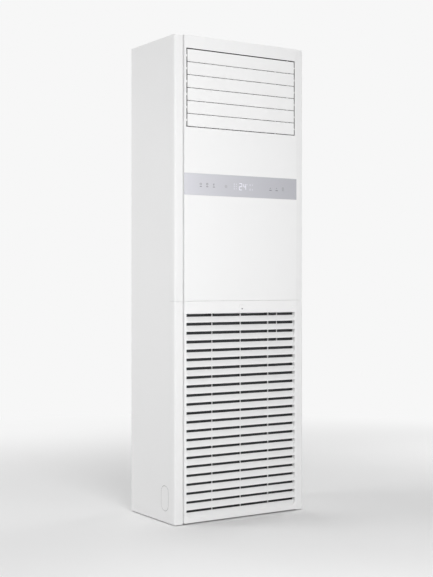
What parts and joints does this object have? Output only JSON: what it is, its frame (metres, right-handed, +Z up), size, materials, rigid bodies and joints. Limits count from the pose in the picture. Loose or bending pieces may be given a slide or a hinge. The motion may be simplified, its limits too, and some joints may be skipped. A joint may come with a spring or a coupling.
{
  "type": "floor standing air conditioner",
  "caption": "Tall floor standing cabinet air conditioner with a lower intake grille, a touch strip and closing outlet blades at the top.",
  "frame": {"origin": "on the floor under the middle of the cabinet", "axes": "+Z up, -Y out of the front, +X to the right seen from the front"},
  "size_m": [0.6, 0.35, 1.85],
  "materials": {
    "painted_steel": "smooth satin white paint",
    "white_plastic": "smooth satin white moulding",
    "grey_lens": "smooth translucent lavender grey strip",
    "galvanised": "galvanised sheet",
    "screw_steel": "zinc plated",
    "black_plastic": "matt black moulding",
    "filter_net": "fine woven net",
    "motor_steel": "dark painted motor shell",
    "wheel_metal": "pressed metal wheel",
    "aluminium_fins": "close fins",
    "copper": "bright copper tube",
    "brass_nuts": "machined brass",
    "grey_plastic": "light grey moulding",
    "board_green": "circuit board with parts"
  },
  "bodies": {
    "cabinet": {"left_side_cover": "painted_steel", "right_side_cover": "painted_steel", "rear_cover": "painted_steel", "top_cover": "painted_steel", "knockout_covers": "painted_steel", "left_lower_post": "white_plastic", "right_lower_post": "white_plastic", "left_upper_post": "white_plastic", "right_upper_post": "white_plastic", "front_panel": "white_plastic", "display_lens": "grey_lens", "base_pan": "galvanised", "skids": "galvanised", "cross_beam": "galvanised", "inner_front_plate": "galvanised", "scroll_casing": "galvanised", "deck": "galvanised", "control_box": "galvanised", "control_cover": "galvanised", "coil_end_plates": "galvanised", "rear_screws": "screw_steel", "outlet_duct": "black_plastic", "latch_keeper": "black_plastic", "pipe_clamp": "black_plastic", "terminal_block": "black_plastic", "bell_mouth": "black_plastic", "blower_motor": "motor_steel", "blade_motor": "motor_steel", "vane_motor": "motor_steel", "coil_fins": "aluminium_fins", "return_bends": "copper", "copper_pipes": "copper", "flare_nuts": "brass_nuts", "drain_pan": "grey_plastic", "drain_pipe": "grey_plastic", "main_board": "board_green", "display_board": "board_green"},
    "blade_1": {"blade_1": "white_plastic"},
    "blade_2": {"blade_2": "white_plastic"},
    "blade_3": {"blade_3": "white_plastic"},
    "blade_4": {"blade_4": "white_plastic"},
    "blade_5": {"blade_5": "white_plastic"},
    "blade_6": {"blade_6": "white_plastic"},
    "vane_1": {"vane_1": "black_plastic"},
    "vane_2": {"vane_2": "black_plastic"},
    "vane_3": {"vane_3": "black_plastic"},
    "vane_4": {"vane_4": "black_plastic"},
    "vane_5": {"vane_5": "black_plastic"},
    "vane_6": {"vane_6": "black_plastic"},
    "vane_7": {"vane_7": "black_plastic"},
    "blade_link": {"blade_link": "black_plastic"},
    "blade_crank": {"blade_crank": "black_plastic"},
    "vane_link": {"vane_link": "black_plastic"},
    "blower": {"blower_wheel": "wheel_metal", "blower_shaft": "screw_steel"},
    "grille": {"intake_grille": "white_plastic"},
    "latch": {"grille_latch": "white_plastic"},
    "filter": {"filter_frame": "black_plastic", "filter_mesh": "filter_net"}
  },
  "joints": [
    {"name": "blade_1_turn", "type": "hinge", "parent": "cabinet", "child": "blade_1", "pos_m": [0, -0.1674, 1.52978], "axis": [-1, 0, 0], "range_deg": [0, 85]},
    {"name": "blade_2_turn", "type": "hinge", "parent": "cabinet", "child": "blade_2", "pos_m": [0, -0.1674, 1.57862], "axis": [-1, 0, 0], "range_deg": [0, 85]},
    {"name": "blade_3_turn", "type": "hinge", "parent": "cabinet", "child": "blade_3", "pos_m": [0, -0.1674, 1.62748], "axis": [-1, 0, 0], "range_deg": [0, 85]},
    {"name": "blade_4_turn", "type": "hinge", "parent": "cabinet", "child": "blade_4", "pos_m": [0, -0.1674, 1.67633], "axis": [-1, 0, 0], "range_deg": [0, 85]},
    {"name": "blade_5_turn", "type": "hinge", "parent": "cabinet", "child": "blade_5", "pos_m": [0, -0.1674, 1.72517], "axis": [-1, 0, 0], "range_deg": [0, 85]},
    {"name": "blade_6_turn", "type": "hinge", "parent": "cabinet", "child": "blade_6", "pos_m": [0, -0.1674, 1.77402], "axis": [-1, 0, 0], "range_deg": [0, 85]},
    {"name": "blade_crank_turn", "type": "hinge", "parent": "cabinet", "child": "blade_crank", "pos_m": [0.2391, -0.1274, 1.62748], "axis": [-1, 0, 0], "range_deg": [0, 85]},
    {"name": "blade_link_pivot", "type": "hinge", "parent": "blade_3", "child": "blade_link", "pos_m": [0.2358, -0.1504, 1.65692], "axis": [-1, 0, 0], "range_deg": [-85, 0]},
    {"name": "vane_1_turn", "type": "hinge", "parent": "cabinet", "child": "vane_1", "pos_m": [-0.198, -0.085, 1.5125], "axis": [0, 0, 1], "range_deg": [-40, 40]},
    {"name": "vane_2_turn", "type": "hinge", "parent": "cabinet", "child": "vane_2", "pos_m": [-0.132, -0.085, 1.5125], "axis": [0, 0, 1], "range_deg": [-40, 40]},
    {"name": "vane_3_turn", "type": "hinge", "parent": "cabinet", "child": "vane_3", "pos_m": [-0.066, -0.085, 1.5125], "axis": [0, 0, 1], "range_deg": [-40, 40]},
    {"name": "vane_4_turn", "type": "hinge", "parent": "cabinet", "child": "vane_4", "pos_m": [0, -0.085, 1.5125], "axis": [0, 0, 1], "range_deg": [-40, 40]},
    {"name": "vane_5_turn", "type": "hinge", "parent": "cabinet", "child": "vane_5", "pos_m": [0.066, -0.085, 1.5125], "axis": [0, 0, 1], "range_deg": [-40, 40]},
    {"name": "vane_6_turn", "type": "hinge", "parent": "cabinet", "child": "vane_6", "pos_m": [0.132, -0.085, 1.5125], "axis": [0, 0, 1], "range_deg": [-40, 40]},
    {"name": "vane_7_turn", "type": "hinge", "parent": "cabinet", "child": "vane_7", "pos_m": [0.198, -0.085, 1.5125], "axis": [0, 0, 1], "range_deg": [-40, 40]},
    {"name": "vane_link_pivot", "type": "hinge", "parent": "vane_4", "child": "vane_link", "pos_m": [0, -0.065, 1.5055], "axis": [0, 0, 1], "range_deg": [-40, 40]},
    {"name": "blower_spin", "type": "hinge", "parent": "cabinet", "child": "blower", "pos_m": [0, -0.0648, 0.4], "axis": [0, 1, 0], "continuous": true},
    {"name": "grille_tilt", "type": "hinge", "parent": "cabinet", "child": "grille", "pos_m": [0, -0.1604, 0.02], "axis": [1, 0, 0], "range_deg": [0, 30]},
    {"name": "latch_push", "type": "slide", "parent": "grille", "child": "latch", "axis": [0, 1, 0], "range_m": [0, 0.004], "stiffness_N_per_m": 300, "springref_m": -0.003},
    {"name": "filter_lift", "type": "slide", "parent": "grille", "child": "filter", "axis": [0, 0, 1], "range_m": [0, 0.012]}
  ],
  "couplings": [
    {"joint": "blade_1_turn", "follows": "blade_3_turn", "ratio": 1},
    {"joint": "blade_2_turn", "follows": "blade_3_turn", "ratio": 1},
    {"joint": "blade_4_turn", "follows": "blade_3_turn", "ratio": 1},
    {"joint": "blade_5_turn", "follows": "blade_3_turn", "ratio": 1},
    {"joint": "blade_6_turn", "follows": "blade_3_turn", "ratio": 1},
    {"joint": "blade_crank_turn", "follows": "blade_3_turn", "ratio": 1},
    {"joint": "blade_link_pivot", "follows": "blade_3_turn", "ratio": -1},
    {"joint": "vane_1_turn", "follows": "vane_4_turn", "ratio": 1},
    {"joint": "vane_2_turn", "follows": "vane_4_turn", "ratio": 1},
    {"joint": "vane_3_turn", "follows": "vane_4_turn", "ratio": 1},
    {"joint": "vane_5_turn", "follows": "vane_4_turn", "ratio": 1},
    {"joint": "vane_6_turn", "follows": "vane_4_turn", "ratio": 1},
    {"joint": "vane_7_turn", "follows": "vane_4_turn", "ratio": 1},
    {"joint": "vane_link_pivot", "follows": "vane_4_turn", "ratio": -1}
  ]
}
